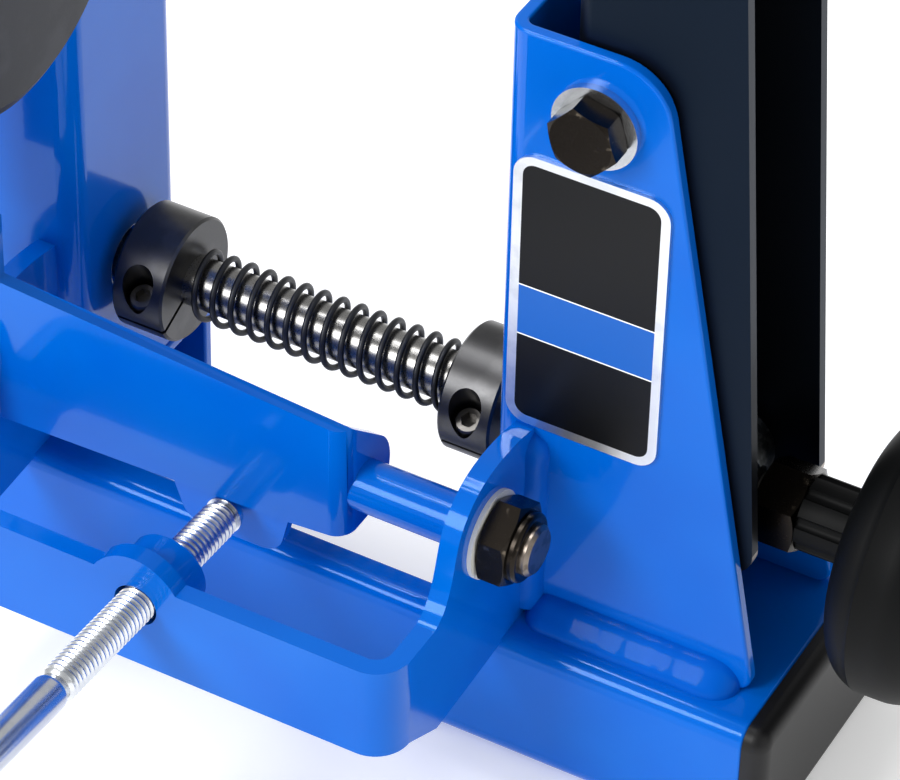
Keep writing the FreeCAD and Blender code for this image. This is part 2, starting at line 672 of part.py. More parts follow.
def arm_tab():
    """Tab under the crossbar that the adjusting rod pushes."""
    y0 = TAB_FACE
    tab = prism_y([(-22, up(-6)), (18, up(-6)), (12, up(-31.3)), (-13, up(-31.3))],
                  y0, y0 + CROSS_SHEET)
    tab = fillet_where(tab, 6.0, lambda m, d: along_y(d) and m.z < up(-20))
    bridge = block(-21, 17, CROSS_FRONT + CROSS_SHEET, y0, up(-10.5), up(-6))
    return soften(tab.fuse(bridge), 0.4)


def arm_stub(x0):
    """Pivot stub of the arm from x0 outboard, threaded at its outer end."""
    stub = rod_x(SHAFT_R, x0, 80.5, ARM_Y, SHAFT_Z)
    return stub.makeChamfer(0.9, [e for e in stub.Edges
                                  if e.BoundBox.XMin > 80.4])


def lock_nut():
    """Nylon-insert lock nut, right-hand side."""
    nut = hex_x(HALF_NUT_AF, 68.9, 76.2, ARM_Y, SHAFT_Z, 30.0)
    dome = rod_x(8.6, 76.2, 78.4, ARM_Y, SHAFT_Z)
    dome = dome.makeFillet(1.0, [e for e in dome.Edges if e.BoundBox.XMin > 78.3])
    nut = nut.fuse(dome)
    return nut.cut(rod_x(SHAFT_R + 0.02, 68, 80, ARM_Y, SHAFT_Z))


def arm_riser():
    """Rectangular tube rising outboard of the left bracket."""
    y0 = -60.0
    y1 = -44.0
    tube = block(RISER_OUT_X, RISER_IN_X, y0, y1, up(45), up(RISER_TOP))
    tube = fillet_where(tube, 2.5, lambda m, d: along_z(d))
    hollow = block(RISER_OUT_X + 2, RISER_IN_X - 2, y0 + 2, y1 - 2, up(47),
                   up(RISER_TOP - 2))
    tube = tube.cut(hollow)
    slot_for_beam = block(RISER_OUT_X - 1, RISER_IN_X + 1, BEAM_BACK - 5.1,
                          BEAM_BACK + 0.1, up(BEAM_LOW - 0.1), up(RISER_TOP + 1))
    tube = tube.cut(slot_for_beam)
    tube = tube.cut(rod_x(6.1, RISER_OUT_X - 1, RISER_IN_X + 1, DISC_Y, up(DISC_UP)))
    return tube.cut(rod_x(TRUNNION_R + RUN_FIT, RISER_OUT_X - 1, RISER_IN_X + 1,
                          SHUTTLE_Y, up(SHUTTLE_UP)))


def caliper_beam():
    """Plate across the top of the riser that carries the two pins."""
    beam = block(RISER_OUT_X, 30, BEAM_BACK - 5.0, BEAM_BACK, up(BEAM_LOW),
                 up(RISER_TOP))
    beam = fillet_where(beam, 8.0, lambda m, d: along_y(d) and m.x > 20)
    for x in (-FINGER_PIN_X, FINGER_PIN_X):
        beam = beam.cut(rod_y(4.02, -60, -45, x, up(FINGER_PIN_UP)))
    return soften(beam, 0.7)


def caliper_pin(x):
    z = up(FINGER_PIN_UP)
    pin = rod_y(4.0, -62.0, -48.0, x, z)
    pin = pin.fuse(rod_y(6.5, -64.0, -60.9, x, z))
    return pin.fuse(rod_y(6.0, -49.9, -48.0, x, z))


def tooth(cx, cz, angle, pitch_r, module):
    """One trapezoid gear tooth pointing at an angle from +X."""
    root = pitch_r - 1.4 * module
    tip = pitch_r + 0.85 * module
    base_half = 0.36 * math.pi * module
    tip_half = 0.125 * math.pi * module
    points = []
    for r, w in ((root, -base_half), (tip, -tip_half), (tip, tip_half),
                 (root, base_half)):
        x = cx + r * math.cos(angle) - w * math.sin(angle)
        z = cz + r * math.sin(angle) + w * math.cos(angle)
        points.append((x, z))
    return points


def finger(side):
    """Caliper finger with a gear segment; side is -1 left, +1 right."""
    y0 = FINGER_FRONT
    y1 = y0 + FINGER_THICK
    cx = side * FINGER_PIN_X
    cz = up(FINGER_PIN_UP)
    tip_z = up(FINGER_TIP_UP)
    root = FINGER_PIN_X - 1.25 * GEAR_MODULE
    hub = rod_y(root, y0, y1, cx, cz)
    blade = prism_y([(cx - 7, cz), (cx + 7, cz), (side * 22 + 5, cz + 36),
                     (side * 15 + (5 if side > 0 else 0), tip_z),
                     (side * 15 + (0 if side > 0 else -5), tip_z),
                     (side * 22 - 5, cz + 36)], y0, y1)
    shape = hub.fuse(blade)
    pitch_angle = 2.0 * math.asin(math.pi * GEAR_MODULE / 2.0 / FINGER_PIN_X)
    facing = 0.0 if side < 0 else math.pi
    offset = 0.0 if side < 0 else 0.5
    for i in range(-3, 4):
        a = facing + (i + offset) * 2.0 * math.pi / 16.0
        shape = shape.fuse(prism_y(tooth(cx, cz, a, FINGER_PIN_X, GEAR_MODULE), y0, y1))
    if side < 0:
        shape = shape.fuse(fork(cx, cz, y0, y1))
    shape = shape.cut(rod_y(4.0 + RUN_FIT, y0 - 1, y1 + 1, cx, cz))
    return shape


def fork(cx, cz, y0, y1):
    """Tail of the left finger with a slot for the trunnion nut."""
    dx = TRUNNION_X - cx
    dz = up(SHUTTLE_UP) - cz
    reach = math.hypot(dx, dz)
    half = TRUNNION_R + 0.5
    outer = half + 3.0
    tail = block(-outer, outer, y0, y1, -reach - TRUNNION_R - 3.0, -root_of_fork())
    slot = block(-half, half, y0 - 1, y1 + 1, -reach - 20, -reach + TRUNNION_R + 1.5)
    tail = tail.cut(slot)
    turn = math.degrees(math.atan2(-dx, -dz))
    tail.rotate(V(0, 0, 0), V(0, 1, 0), turn)
    tail.translate(V(cx, 0, cz))
    return tail


def root_of_fork():
    return 8.0


def caliper_shuttle():
    """Nut on the spindle with a bar over the disc and a pin in the fork."""
    low = up(DISC_UP)
    high = up(SHUTTLE_UP)
    nut = block(-110, -98, DISC_Y - 6, SHUTTLE_Y + 6, low - 8, high + 6)
    nut = fillet_where(nut, 2.0, lambda m, d: along_z(d))
    bar = rod_x(TRUNNION_R, -99, TRUNNION_X + 6, SHUTTLE_Y, high)
    pin = rod_y(TRUNNION_R - 0.02, -61.5, SHUTTLE_Y, TRUNNION_X, high)
    shuttle = nut.fuse(bar).fuse(pin)
    return shuttle.cut(rod_x(SPINDLE_R + RUN_FIT, -112, -96, DISC_Y, low))


def caliper_spindle():
    z = up(DISC_UP)
    return rod_x(SPINDLE_R, -118.0, DISC_FACE_X + 1.5, DISC_Y, z)


def spindle_bushing(x0, x1):
    z = up(DISC_UP)
    bush = rod_x(6.05, x0, x1, DISC_Y, z)
    bush = bush.cut(rod_x(SPINDLE_R + RUN_FIT, x0 - 1, x1 + 1, DISC_Y, z))
    return bush


def caliper_disc():
    """Thin hand wheel on the spindle with bevelled rims."""
    x1 = DISC_FACE_X
    x0 = x1 - 7.0
    bevel = 3.0
    disc = spin_x([(x0, SPINDLE_R + 0.02), (x0, DISC_R - bevel * 0.6),
                   (x0 + 1.8, DISC_R), (x1 - 1.8, DISC_R), (x1, DISC_R - bevel),
                   (x1, SPINDLE_R + 0.02)], DISC_Y, up(DISC_UP))
    return disc


def spindle_collar():
    z = up(DISC_UP)
    ring = rod_x(8.0, -92.6, -88.4, DISC_Y, z)
    return ring.cut(rod_x(SPINDLE_R + 0.02, -96, -88, DISC_Y, z))


# ---- adjusting rod ------------------------------------------------------
def on_rod(shape):
    """Lay a shape made along +Y from the rod's tip onto the tilted axis."""
    tip_y = TAB_FACE - CONTACT_GAP
    shape.rotate(V(0, 0, 0), V(1, 0, 0), -ROD_TILT)
    shape.translate(V(0, tip_y, rod_axis_z(tip_y)))
    return shape


def thrust_tip():
    """Round nose that bears on the tab and doesn't turn."""
    nose = Part.makeSphere(ROD_R, V(0, -ROD_R, 0))
    keep = rod_y(ROD_R + 1, -ROD_R, 1, 0, 0)
    nose = nose.common(keep)
    stem = rod_y(2.2, -ROD_R - 5.0, -ROD_R, 0, 0)
    return on_rod(nose.fuse(stem))


def adjusting_rod():
    back = -ROD_R - 0.1
    shaft = rod_y(ROD_R, -79.0, back, 0, 0)
    shaft = shaft.fuse(rod_y(ROD_R - 0.55, -140.0, -79.0, 0, 0))
    return on_rod(shaft.cut(rod_y(2.26, -ROD_R - 5.4, 1, 0, 0)))


def rod_handle():
    """Round hand knob at the front end of the rod."""
    grip = rod_y(25.0, -146.0, -124.0, 0, 0)
    grip = grip.makeFillet(5.0, [e for e in grip.Edges
                                 if isinstance(e.Curve, Part.Circle)])
    neck = rod_y(9.0, -124.5, -116.0, 0, 0)
    knob = grip.fuse(neck)
    return on_rod(knob.cut(rod_y(ROD_R - 0.53, -140.05, -110, 0, 0)))


# ---- write every piece --------------------------------------------------
save(base_tube(), "base_tube")
save(caliper_yoke(), "caliper_yoke")
save(yoke_boss(), "yoke_boss")
save(label_plate(), "label_plate")

pairs = {
    "end_cap": end_cap(),
    "bracket": bracket(),
    "bracket_weld": weld_bead(),
    "arm_bushing": arm_bushing(),
    "pivot_bolt": pivot_bolt(),
    "washer_front": pivot_washer(-BRACKET_HALF_Y - 2.0, -BRACKET_HALF_Y),
    "washer_rear": pivot_washer(BRACKET_HALF_Y, BRACKET_HALF_Y + 2.0),
    "pivot_nut": pivot_nut(),
    "upright": upright(),
    "axle_plate": axle_plate(),
    "barrel_nut": barrel_nut(),
    "collar": collar(),
    "collar_screw": collar_screw(),
    "lock_nut": lock_nut(),
}
for name, shape in pairs.items():
    save(shape, name + "_right")
    save(mirror_x(shape), name + "_left")

save(centering_shaft(), "centering_shaft")
save(centering_spring(), "centering_spring")
save(jam_nut(), "jam_nut")
save(knob_hub(), "knob_hub")
save(centering_knob(), "centering_knob")

save(crossbar(), "crossbar")
save(arm_tab(), "arm_tab")
save(arm_stub(RIGHT_EAR_X - 2.0), "arm_stub_right")
save(mirror_x(arm_stub(-LEFT_EAR_X - CROSS_SHEET)), "arm_stub_left")
save(arm_riser(), "arm_riser")
save(caliper_beam(), "caliper_beam")
save(caliper_pin(-FINGER_PIN_X), "caliper_pin_left")
save(caliper_pin(FINGER_PIN_X), "caliper_pin_right")
save(spindle_bushing(-88.3, -84.0), "spindle_bushing_outer")
save(spindle_bushing(-66.6, -62.3), "spindle_bushing_inner")
save(finger(-1), "caliper_left")
save(finger(1), "caliper_right")
save(caliper_shuttle(), "caliper_shuttle")
save(caliper_spindle(), "caliper_spindle")
save(caliper_disc(), "caliper_disc")
save(spindle_collar(), "spindle_collar")

save(thrust_tip(), "thrust_tip")
save(adjusting_rod(), "adjusting_rod")
save(rod_handle(), "rod_handle")
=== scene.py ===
# %% [markdown]
# # Wheel truing stand
# A workshop stand that holds a bicycle wheel by its axle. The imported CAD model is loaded
# as a fixed frame, and this lesson dresses it: paint, plating, moulded plastic, screw
# threads, and the moulded hand knobs. Lengths are in metres, and sizes that a maker would
# give in millimetres are written as a number times MM.

# %% Load the frame
import bpy
import bmesh
import math
from mathutils import Matrix, Vector


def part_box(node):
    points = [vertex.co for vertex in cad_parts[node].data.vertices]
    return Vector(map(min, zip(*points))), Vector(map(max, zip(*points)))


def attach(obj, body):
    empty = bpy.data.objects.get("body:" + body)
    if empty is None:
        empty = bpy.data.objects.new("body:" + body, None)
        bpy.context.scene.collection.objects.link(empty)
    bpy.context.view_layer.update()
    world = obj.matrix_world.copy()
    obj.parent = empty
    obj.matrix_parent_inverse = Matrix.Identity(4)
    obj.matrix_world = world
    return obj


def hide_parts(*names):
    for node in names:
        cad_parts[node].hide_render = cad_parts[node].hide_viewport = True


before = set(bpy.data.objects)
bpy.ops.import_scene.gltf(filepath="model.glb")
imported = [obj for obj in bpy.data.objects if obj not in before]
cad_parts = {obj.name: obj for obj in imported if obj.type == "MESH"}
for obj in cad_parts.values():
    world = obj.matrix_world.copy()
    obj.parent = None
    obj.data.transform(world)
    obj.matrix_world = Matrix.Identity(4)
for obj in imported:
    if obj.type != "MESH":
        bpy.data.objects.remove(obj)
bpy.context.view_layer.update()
MM = 0.001

# %% [markdown]
# ## Camera
# The camera stands to the right of the stand, in front and above, with a long lens.
# Its three axes are written as directions, so that the picture's frame follows from them.

# %% Place the camera
camera_right = Vector((0.87344145, 0.4865506, 0.01919768))
camera_down = Vector((0.33040777, -0.56325602, -0.75734626))
camera_place = Vector((0.429826, -0.741484, 0.798704))
FOCAL_PIXELS = 4660.1
IMAGE_WIDTH = 900
IMAGE_HEIGHT = 780
SENSOR_MM = 36.0
CENTRE_X = 448.97
CENTRE_Y = 388.78
VIEW_DEPTH = 20.0

camera_data = bpy.data.cameras.new("camera")
camera_data.sensor_width = SENSOR_MM
camera_data.lens = FOCAL_PIXELS / IMAGE_WIDTH * SENSOR_MM
camera_data.shift_x = (IMAGE_WIDTH / 2 - CENTRE_X) / IMAGE_WIDTH
camera_data.shift_y = (CENTRE_Y - IMAGE_HEIGHT / 2) / IMAGE_WIDTH
camera_data.clip_end = VIEW_DEPTH
camera = bpy.data.objects.new("camera", camera_data)
bpy.context.scene.collection.objects.link(camera)
up = -camera_down.normalized()
right = camera_right.normalized()
back = right.cross(up)
turn = Matrix((right, up, back)).transposed().to_4x4()
camera.matrix_world = Matrix.Translation(camera_place) @ turn
bpy.context.scene.camera = camera
print("lens mm:", round(camera_data.lens, 1), "forward:", [round(c, 3) for c in -back])

# %% [markdown]
# ## Studio
# A plain pale floor lies under an even white sky. A square key light stands at the front
# left, a smaller one hangs above, and a weak fill comes from the right.

# %% Floor and lights
def srgb(code):
    """Turn an sRGB hex colour into linear red, green, blue, alpha."""
    parts = [int(code[i:i + 2], 16) / 255 for i in (0, 2, 4)]
    line = [c / 12.92 if c <= 0.04045 else ((c + 0.055) / 1.055) ** 2.4 for c in parts]
    return (*line, 1.0)


def soft_light(name, place, aim, size, watts, tint="ffffff"):
    """A square area light at a place, pointing at another."""
    data = bpy.data.lights.new(name, "AREA")
    data.size = size
    data.energy = watts
    data.color = srgb(tint)[:3]
    lamp = bpy.data.objects.new(name, data)
    bpy.context.scene.collection.objects.link(lamp)
    lamp.location = place
    lamp.rotation_euler = (Vector(aim) - Vector(place)).to_track_quat("-Z", "Y").to_euler()
    return lamp


FLOOR_HALF = 4.0
FLOOR_DROP = 0.5 * MM
SKY_STRENGTH = 0.6

bpy.context.scene.view_settings.view_transform = "Standard"
stand_middle = (0.0, 0.0, 0.12)
soft_light("key", (-0.9, -1.7, 1.4), stand_middle, 0.9, 36)
soft_light("fill", (2.0, -0.5, 0.9), stand_middle, 1.4, 3)
soft_light("top", (-0.85, 0.1, 2.1), stand_middle, 0.7, 26)

world = bpy.data.worlds.new("studio")
bpy.context.scene.world = world
world.use_nodes = True
world.node_tree.nodes["Background"].inputs["Color"].default_value = srgb("ffffff")
world.node_tree.nodes["Background"].inputs["Strength"].default_value = SKY_STRENGTH

floor_mesh = bpy.data.meshes.new("floor")
floor_bm = bmesh.new()
bmesh.ops.create_grid(floor_bm, x_segments=1, y_segments=1, size=FLOOR_HALF)
floor_bm.to_mesh(floor_mesh)
floor_bm.free()
floor = bpy.data.objects.new("floor", floor_mesh)
bpy.context.scene.collection.objects.link(floor)
floor.location.z = -FLOOR_DROP

# %% [markdown]
# ## Materials
# Every finish is a Principled shader with its colour, gloss and fine relief worked out by
# nodes. One small function adds a node with its settings and its links.

# %% A node helper and a blank material
def node(tree, kind, settings=None, **links):
    """Add a node, set its properties and sockets, and link what is given as an output."""
    made = tree.nodes.new(kind)
    for key, value in (settings or {}).items():
        if key in made.inputs:
            made.inputs[key].default_value = value
        else:
            setattr(made, key, value)
    for key, source in links.items():
        tree.links.new(source, made.inputs[key.replace("_", " ")])
    return made


def blank(name, rough, metal, **sockets):
    """A material with one Principled shader, its constants set on its sockets."""
    made = bpy.data.materials.new(name)
    made.use_nodes = True
    shader = made.node_tree.nodes["Principled BSDF"]
    shader.inputs["Roughness"].default_value = rough
    shader.inputs["Metallic"].default_value = metal
    for key, value in sockets.items():
        shader.inputs[key.replace("_", " ")].default_value = value
    return made, made.node_tree, shader


def grain(tree, size_mm, detail=3.0, stretch=(1, 1, 1)):
    """Noise whose lumps are about size_mm across, in the object's own space."""
    place = node(tree, "ShaderNodeTexCoord").outputs["Object"]
    turned_place = node(tree, "ShaderNodeMapping", {"Scale": stretch}, Vector=place)
    noise = node(tree, "ShaderNodeTexNoise", {"Scale": 1.0 / (size_mm * MM), "Detail": detail},
                 Vector=turned_place.outputs["Vector"])
    return noise.outputs["Fac"]


def between(tree, fac, low, high, start=0.0, end=1.0):
    """Map a 0..1 pattern to a range."""
    ramp = node(tree, "ShaderNodeMapRange",
                {"From Min": start, "From Max": end, "To Min": low, "To Max": high}, Value=fac)
    return ramp.outputs["Result"]


def two_colours(tree, fac, first, second, start=0.35, end=0.65):
    """Blend two sRGB colours by a pattern."""
    ramp = node(tree, "ShaderNodeValToRGB", {}, Fac=fac)
    ramp.color_ramp.elements[0].position = start
    ramp.color_ramp.elements[0].color = srgb(first)
    ramp.color_ramp.elements[1].position = end
    ramp.color_ramp.elements[1].color = srgb(second)
    return ramp.outputs["Color"]


def relief(tree, shader, height, depth_mm, strength=1.0):
    """Bump of a pattern that is depth_mm deep."""
    bump = node(tree, "ShaderNodeBump", {"Distance": depth_mm * MM, "Strength": strength},
                Height=height)
    tree.links.new(bump.outputs["Normal"], shader.inputs["Normal"])


print("helpers ready")

# %% [markdown]
# ### Gloss powder coat
# The frame is sprayed with powder and baked. The film levels into a gloss with a faint
# orange peel of about a millimetre and a half.

# %% Powder coat
ORANGE_PEEL_MM = 1.6
GLOSS_TINT = "4aa8ff"


def powder_coat(name, light, dark, rough, coat, shine):
    made, tree, shader = blank(name, rough, 0.0, IOR=1.4, Specular_IOR_Level=shine,
                               Specular_Tint=srgb(GLOSS_TINT), Coat_Weight=coat,
                               Coat_Roughness=0.04, Coat_IOR=1.4)
    cloud = grain(tree, 38.0, 2.0)
    tree.links.new(two_colours(tree, cloud, dark, light, 0.25, 0.75),
                   shader.inputs["Base Color"])
    peel = grain(tree, ORANGE_PEEL_MM, 1.0)
    relief(tree, shader, peel, 0.02, 0.6)
    return made


blue_coat = powder_coat("blue_powder_coat", "0066cc", "005ac2", 0.12, 0.3, 0.4)
# The weld beads' blue is drawn darker than the frame's: painted shade for the corner they fill.
# Their rougher gloss is the bead's own.
weld_coat_shaded = powder_coat("blue_weld_coat_painted_shade", "005cc2", "0050b8", 0.4, 0.08, 0.3)
black_coat = powder_coat("black_powder_coat", "0b0c0e", "08090b", 0.4, 0.0, 0.3)
print(blue_coat.name, black_coat.name)

# %% [markdown]
# ### Steel finishes
# Black oxide is a thin dark film with lighter worn patches. Zinc plate is brighter, with a
# faint cool cast. Turned steel is a plain grey. All have a fine grain in gloss and relief.

# %% Steel
def plated_steel(name, colour, worn, rough, wear_start, wear_mm=3.0, texture_mm=0.012):
    made, tree, shader = blank(name, rough, 1.0)
    patch = grain(tree, wear_mm, 6.0)
    tree.links.new(two_colours(tree, patch, colour, worn, wear_start, wear_start + 0.12),
                   shader.inputs["Base Color"])
    fine = grain(tree, 0.35, 4.0)
    tree.links.new(between(tree, fine, rough - 0.05, rough + 0.06), shader.inputs["Roughness"])
    relief(tree, shader, fine, texture_mm, 0.5)
    return made


black_oxide = plated_steel("black_oxide_steel", "2a2622", "6b6256", 0.25, 0.64)
satin_oxide = plated_steel("satin_oxide_steel", "4a4a4b", "535354", 0.36, 0.5, 9.0)
dull_oxide = plated_steel("dull_oxide_steel", "3a3b3e", "424346", 0.45, 0.5, 14.0)
zinc_plate = plated_steel("zinc_plated_steel", "d6d9dd", "cdd1d5", 0.24, 0.5, 6.0, 0.0015)
# Light grey for the upright flange edges: a painted highlight along them.
edge_highlight_finish = plated_steel("painted_edge_highlight", "a39a92", "857b72", 0.35, 0.5, 3.0)
turned_steel = plated_steel("turned_steel", "8d8c8a", "858381", 0.28, 0.5, 9.0, 0.004)
socket_oxide = plated_steel("socket_screw_oxide", "5c5a58", "6e6b68", 0.3, 0.5, 3.0)
dark_steel = plated_steel("oiled_steel", "55585a", "7f8283", 0.33, 0.5, 2.0)
bare_bar = plated_steel("bare_bar", "7d746c", "5f5750", 0.3, 0.5, 3.0)
print("steels ready")

# %% [markdown]
# ### Moulded plastics
# The knobs are moulded in black ABS, the caps in black polythene and the bearings in white
# nylon, each in one colour with a fine grain. The floor gets its plain finish here too.

# %% Plastics
def moulded(name, colour, rough, grain_mm=0.5, depth_mm=0.02, shine=0.5):
    made, tree, shader = blank(name, rough, 0.0, Base_Color=srgb(colour), IOR=1.4,
                               Specular_IOR_Level=shine)
    texture = grain(tree, grain_mm, 2.0)
    relief(tree, shader, texture, depth_mm, 0.8)
    return made


black_abs = moulded("black_abs", "08090a", 0.5, shine=0.16)
black_cap = moulded("black_polythene", "0b0b0d", 0.42, shine=0.4)
white_nylon = moulded("natural_nylon", "e4e3dc", 0.4, 1.2)
pale_floor, floor_tree, floor_shader = blank("pale_floor", 0.7, 0.0)
floor_shader.inputs["Base Color"].default_value = srgb("f6f6f6")
floor_shader.inputs["Emission Color"].default_value = srgb("ffffff")
floor_shader.inputs["Emission Strength"].default_value = 0.3
floor.data.materials.append(pale_floor)
print("plastics ready")

# %% [markdown]
# ## Dress the CAD nodes
# Where the CAD shape is already right, it only needs its finish.

# %% Give each node its finish
both = ("_right", "_left")
finishes = {
    blue_coat: ["base_tube", "caliper_yoke", "yoke_boss", "crossbar", "arm_tab", "arm_riser",
                "caliper_beam"] + [n + s for n in ("bracket", "bracket_weld", "arm_stub")
                                   for s in both],
    black_coat: ["upright_right", "upright_left", "caliper_left", "caliper_right"],
    black_oxide: ["jam_nut", "caliper_pin_left", "caliper_pin_right", "spindle_collar"]
    + [n + s for n in ("pivot_bolt", "pivot_nut", "lock_nut") for s in both],
    socket_oxide: ["collar_screw_right", "collar_screw_left"],
    satin_oxide: ["collar_right", "collar_left"],
    dull_oxide: ["caliper_disc", "centering_spring"],
    zinc_plate: ["adjusting_rod", "thrust_tip", "caliper_spindle"]
    + [n + s for n in ("washer_front", "washer_rear", "axle_plate") for s in both],
    turned_steel: ["centering_shaft", "caliper_shuttle", "spindle_bushing_outer",
                   "spindle_bushing_inner", "label_plate"],
    dark_steel: ["barrel_nut_right", "barrel_nut_left"],
    black_abs: ["knob_hub", "centering_knob", "rod_handle"],
    black_cap: ["end_cap_right", "end_cap_left"],
    white_nylon: ["arm_bushing_right", "arm_bushing_left"],
}
for finish, names in finishes.items():
    for name in names:
        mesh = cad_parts[name].data
        mesh.materials.clear()
        mesh.materials.append(finish)
dressed = {n for names in finishes.values() for n in names}
print("undressed:", sorted(set(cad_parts) - dressed))

# %% [markdown]
# The free edges of the upright flanges are drawn in a light steel grey, a painted highlight along
# each edge.

# %% Painted highlight on the upright edges
def second_finish(name, finish, chosen):
    """Give the faces that pass a test another finish."""
    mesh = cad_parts[name].data
    mesh.materials.append(finish)
    count = 0
    for polygon in mesh.polygons:
        if chosen(polygon.center, polygon.normal):
            polygon.material_index = 1
            count += 1
    return count


EDGE_DEPTH = 0.4 * MM
for side in both:
    low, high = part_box("upright" + side)
    free = max(abs(low.x), abs(high.x)) - EDGE_DEPTH
    edge_faces = second_finish("upright" + side, edge_highlight_finish,
                               lambda c, n: abs(n.x) > 0.9 and abs(c.x) > free)
    print(side, "edges:", edge_faces)

# %% [markdown]
# ## Turned and rolled pieces
# Knobs and threaded rods are round about one line. An outline of (along, radius) points is
# spun about that line, and a thread is one ridge of a pitch's width that is spun while it
# moves along, as a die cuts it.

# %% Helpers for round pieces
STEPS_ROUND = 96


def arc(along, radius, size, start, end, points=9):
    """Points of an arc about (along, radius), angles in degrees from the axis."""
    step = (end - start) / (points - 1)
    angles = [math.radians(start + i * step) for i in range(points)]
    return [(along + size * math.cos(a), radius + size * math.sin(a)) for a in angles]


def turned(bm, outline, centre, axis, steps=STEPS_ROUND):
    """Spin an outline once about an axis through centre."""
    axis = Vector(axis).normalized()
    side = axis.orthogonal().normalized()
    points = [bm.verts.new(Vector(centre) + axis * a + side * r) for a, r in outline]
    edges = [bm.edges.new(pair) for pair in zip(points, points[1:])]
    bmesh.ops.spin(bm, geom=points + edges, cent=centre, axis=axis, dvec=(0, 0, 0),
                   angle=math.tau, steps=steps, use_merge=True, use_duplicate=False)
    bmesh.ops.remove_doubles(bm, verts=bm.verts, dist=1e-6)


def thread(bm, centre, axis, start, end, major, pitch, steps=24):
    """Right-hand thread between two places along the axis, run out at both ends."""
    axis = Vector(axis).normalized()
    side = axis.orthogonal().normalized()
    depth = 0.6 * pitch
    flat = 0.1 * pitch
    ridge = [(0.0, major - depth), (0.5 * pitch - flat, major), (0.5 * pitch + flat, major),
             (pitch, major - depth)]
    turns = int((end - start) / pitch) - 1
    points = [bm.verts.new(Vector(centre) + axis * (start + a) + side * r) for a, r in ridge]
    edges = [bm.edges.new(pair) for pair in zip(points, points[1:])]
    bmesh.ops.spin(bm, geom=points + edges, cent=centre, axis=axis,
                   dvec=axis * (pitch / steps), angle=math.tau * turns,
                   steps=steps * turns, use_merge=False, use_duplicate=False)
    bmesh.ops.remove_doubles(bm, verts=bm.verts, dist=1e-6)
    low = start + pitch
    high = start + turns * pitch
    for vert in bm.verts:
        along = (vert.co - Vector(centre)).dot(axis)
        spoke = vert.co - Vector(centre) - axis * along
        reach = min(1.0, max(0.0, (along - start) / pitch), max(0.0, (high + pitch - along) / pitch))
        if along < low or along > high:
            radius = (major - depth) + (spoke.length - (major - depth)) * reach
            vert.co = Vector(centre) + axis * along + spoke.normalized() * radius


def make_piece(name, bm, finish, body, replaces=(), smooth_deg=35.0, outward=True):
    """Turn a bmesh into an object that rides on a body and stands for CAD nodes."""
    if outward:
        bmesh.ops.recalc_face_normals(bm, faces=bm.faces)
    mesh = bpy.data.meshes.new(name)
    bm.to_mesh(mesh)
    bm.free()
    mesh.shade_smooth()
    mesh.set_sharp_from_angle(angle=math.radians(smooth_deg))
    for material in finish if isinstance(finish, (list, tuple)) else [finish]:
        mesh.materials.append(material)
    obj = bpy.data.objects.new(name, mesh)
    bpy.context.scene.collection.objects.link(obj)
    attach(obj, body)
    if replaces:
        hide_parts(*replaces)
    print(name, "faces:", len(mesh.polygons))
    return obj


# %% [markdown]
# ### Pivot stubs
# The bars that the caliper arm pivots on are painted with it. Their ends beyond the nuts
# were masked and stay bare, so each stub is the CAD shape cut in two zones.

# %% Pivot stubs
STUB_BARE = 76.5 * MM
for side in both:
    node_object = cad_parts["arm_stub" + side]
    stub_bm = bmesh.new()
    stub_bm.from_mesh(node_object.data)
    stub_bm.transform(node_object.matrix_world)
    low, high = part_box("arm_stub" + side)
    cut_x = math.copysign(STUB_BARE, low.x + high.x)
    bmesh.ops.bisect_plane(stub_bm, geom=stub_bm.verts[:] + stub_bm.edges[:] + stub_bm.faces[:],
                           plane_co=(cut_x, 0, 0), plane_no=(1, 0, 0), dist=1e-6)
    for face in stub_bm.faces:
        face.material_index = 1 if abs(face.calc_center_median().x) > STUB_BARE else 0
    stub = make_piece("pivot_stub" + side, stub_bm, [blue_coat, bare_bar], "caliper_arm",
                      ["arm_stub" + side])

# %% [markdown]
# ### Centring shaft
# Half-inch steel bar, plain in the middle where the spring slides, with 13 threads to the
# inch at both ends. Both threads are drawn right-hand. A working shaft needs the one on
# the left to be left-hand.

# %% Threaded shaft
low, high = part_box("centering_shaft")
SHAFT_PLACE = Vector((0, (low.y + high.y) / 2, (low.z + high.z) / 2))
SHAFT_RADIUS = (high.z - low.z) / 2
SHAFT_PITCH = 25.4 / 13 * MM
THREAD_END = 1.0 * MM
shaft_bm = bmesh.new()
plain = 64 * MM
root = SHAFT_RADIUS - 0.62 * SHAFT_PITCH
for sign in (-1, 1):
    end = (high.x if sign > 0 else -low.x)
    thread(shaft_bm, SHAFT_PLACE, (sign, 0, 0), plain, end - THREAD_END, SHAFT_RADIUS, SHAFT_PITCH)
turned(shaft_bm, [(low.x, 0), (low.x, root - 0.5 * MM), (low.x + 0.5 * MM, root),
                  (-plain - 0.8 * MM, root), (-plain, SHAFT_RADIUS), (plain, SHAFT_RADIUS),
                  (plain + 0.8 * MM, root), (high.x, root), (high.x, 0)], SHAFT_PLACE, (1, 0, 0))
shaft = make_piece("threaded_shaft", shaft_bm, turned_steel, "centering_screw",
                   ["centering_shaft"])

# %% [markdown]
# ### Adjusting rod
# A 3/8 in rod with 16 threads to the inch, plated with zinc. The thread runs out in a
# short neck, and the plain shank starts from a rounded shoulder.

